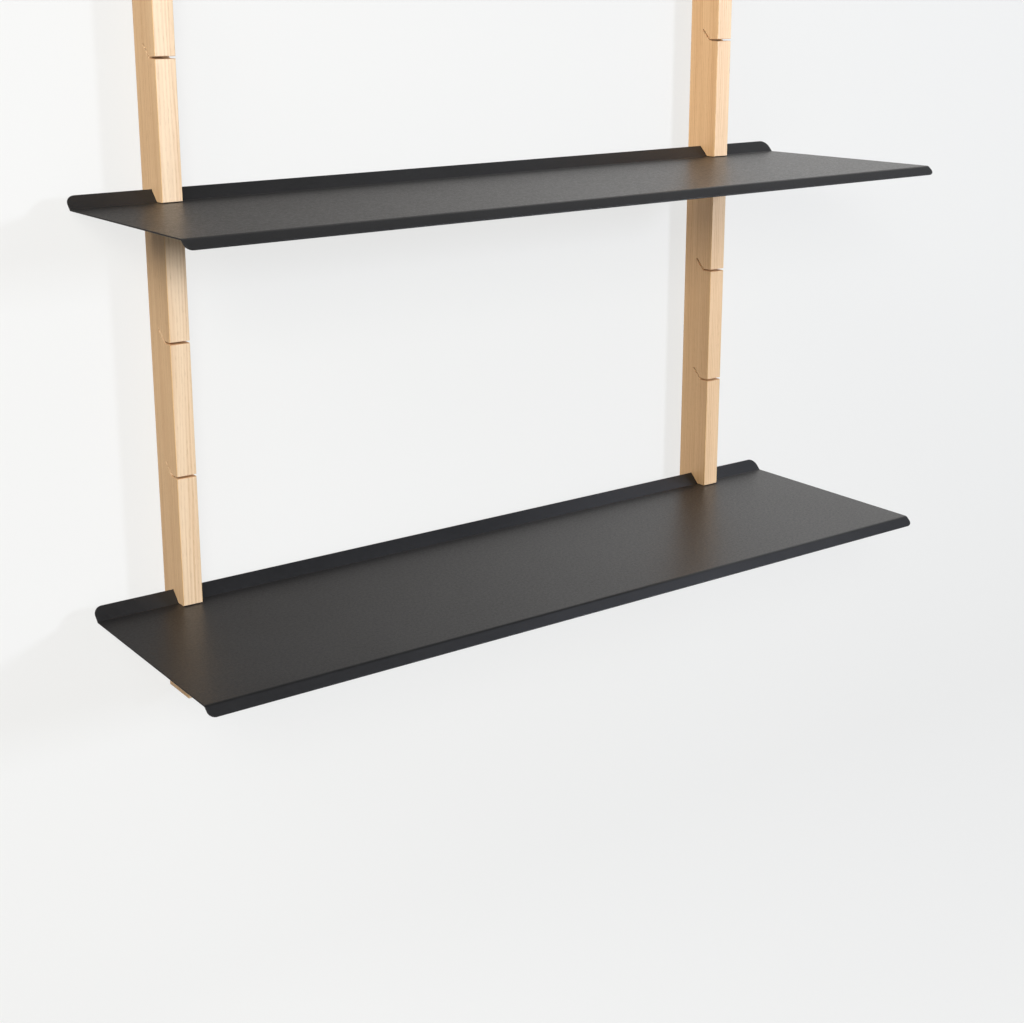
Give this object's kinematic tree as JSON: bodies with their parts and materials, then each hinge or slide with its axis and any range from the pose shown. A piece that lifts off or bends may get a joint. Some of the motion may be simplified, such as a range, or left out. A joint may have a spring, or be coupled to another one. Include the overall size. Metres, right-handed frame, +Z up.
{
  "type": "wall shelf rack",
  "caption": "Wall-hung desk shelf rack: slotted oak uprights carry bent black steel shelves that slide in lengthwise through matching kerfs.",
  "frame": {"origin": "in the wall plane, midway between the four wall screws, level with the middle kerf", "axes": "+X right along the wall, +Y into the wall, +Z up; the front faces -Y"},
  "size_m": [1, 0.3108, 0.82],
  "materials": {
    "oak": "pale oiled oak, fine straight grain, satin",
    "black_powder_coat": "fine-textured matt black powder coat",
    "zinc_plated_steel": "bright zinc plate"
  },
  "bodies": {
    "uprights": {"left_upright": "oak", "right_upright": "oak", "left_bottom_hanger_plate": "zinc_plated_steel", "left_top_hanger_plate": "zinc_plated_steel", "right_bottom_hanger_plate": "zinc_plated_steel", "right_top_hanger_plate": "zinc_plated_steel", "left_bottom_hanger_screw_lower": "zinc_plated_steel", "left_bottom_hanger_screw_upper": "zinc_plated_steel", "left_top_hanger_screw_lower": "zinc_plated_steel", "left_top_hanger_screw_upper": "zinc_plated_steel", "right_bottom_hanger_screw_lower": "zinc_plated_steel", "right_bottom_hanger_screw_upper": "zinc_plated_steel", "right_top_hanger_screw_lower": "zinc_plated_steel", "right_top_hanger_screw_upper": "zinc_plated_steel"},
    "lower_shelf": {"lower_shelf": "black_powder_coat"},
    "upper_shelf": {"upper_shelf": "black_powder_coat"}
  },
  "joints": [
    {"name": "lower_shelf_slide", "type": "slide", "parent": "uprights", "child": "lower_shelf", "axis": [1, 0, 0], "range_m": [-0.085, 0.085]},
    {"name": "upper_shelf_slide", "type": "slide", "parent": "uprights", "child": "upper_shelf", "axis": [1, 0, 0], "range_m": [-0.085, 0.085]}
  ]
}
